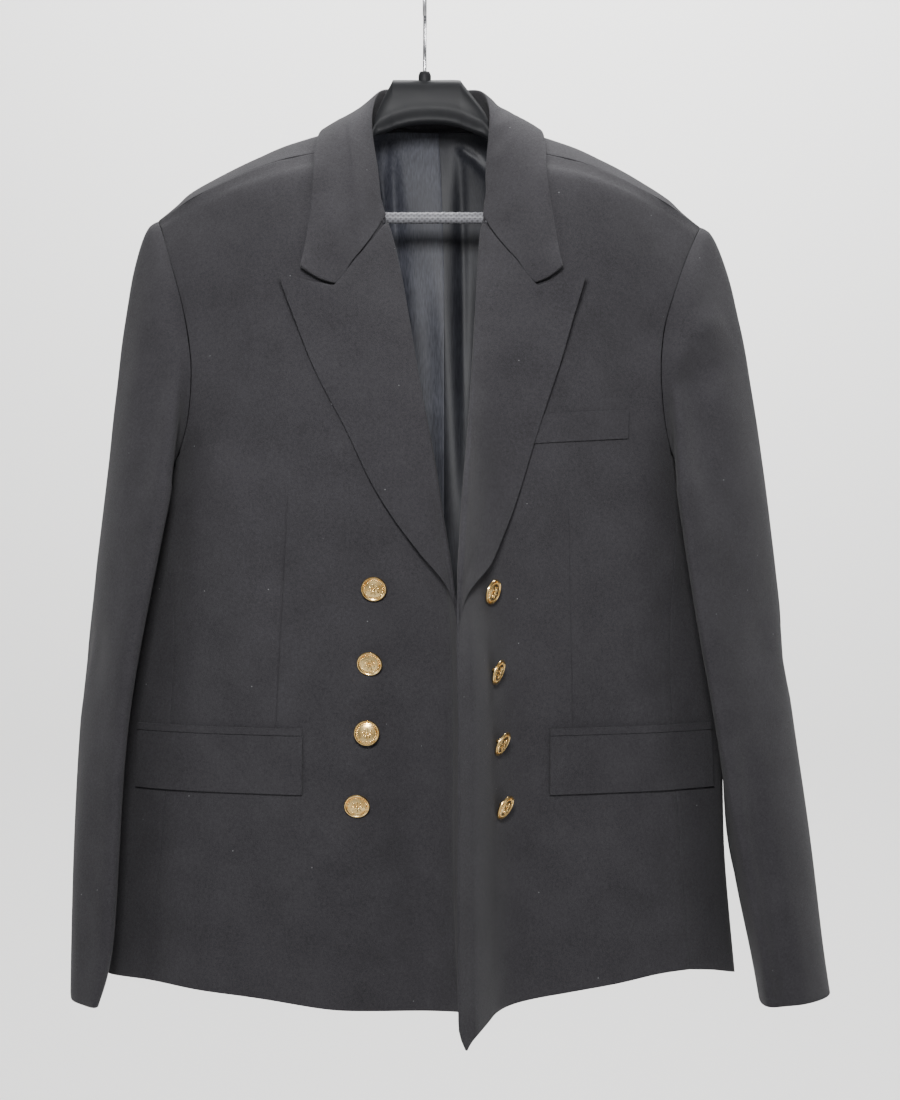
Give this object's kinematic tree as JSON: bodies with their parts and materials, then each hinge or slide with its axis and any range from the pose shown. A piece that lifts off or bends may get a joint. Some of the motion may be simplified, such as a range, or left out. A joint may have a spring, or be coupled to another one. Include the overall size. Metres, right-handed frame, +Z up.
{
  "type": "double-breasted reefer jacket on a suit hanger",
  "caption": "Open double-breasted wool jacket with peak lapels, flapped hip pockets and domed metal buttons, hanging on a suit hanger with a trouser bar.",
  "frame": {"origin": "the inside top of the hanger's hook, where a rail bears", "axes": "+Z up along the hook's stem, the jacket's front faces -Y, +X is the wearer's left"},
  "size_m": [0.6665, 0.2849, 0.8915],
  "materials": {
    "wool": "matt melton wool, near black",
    "lining": "satin lining, dark blue-grey",
    "plastic": "dark moulded plastic, soft gloss",
    "bar": "grey ribbed sleeve",
    "steel": "bright wire",
    "brass": "polished gilt"
  },
  "bodies": {
    "root": {"front_right": "wool", "front_left": "wool", "side_right": "wool", "side_left": "wool", "back_right": "wool", "back_left": "wool", "sleeve_right": "wool", "sleeve_left": "wool", "collar": "wool", "lapel_right": "wool", "lapel_left": "wool", "flap_right": "wool", "flap_left": "wool", "jet_right": "wool", "jet_left": "wool", "welt_left": "wool", "lining_right": "lining", "lining_left": "lining", "hanger": "plastic", "trouser_bar": "bar", "hook": "steel", "button_right_1": "brass", "button_right_2": "brass", "button_right_3": "brass", "button_right_4": "brass", "button_left_1": "brass", "button_left_2": "brass", "button_left_3": "brass", "button_left_4": "brass"}
  },
  "joints": []
}
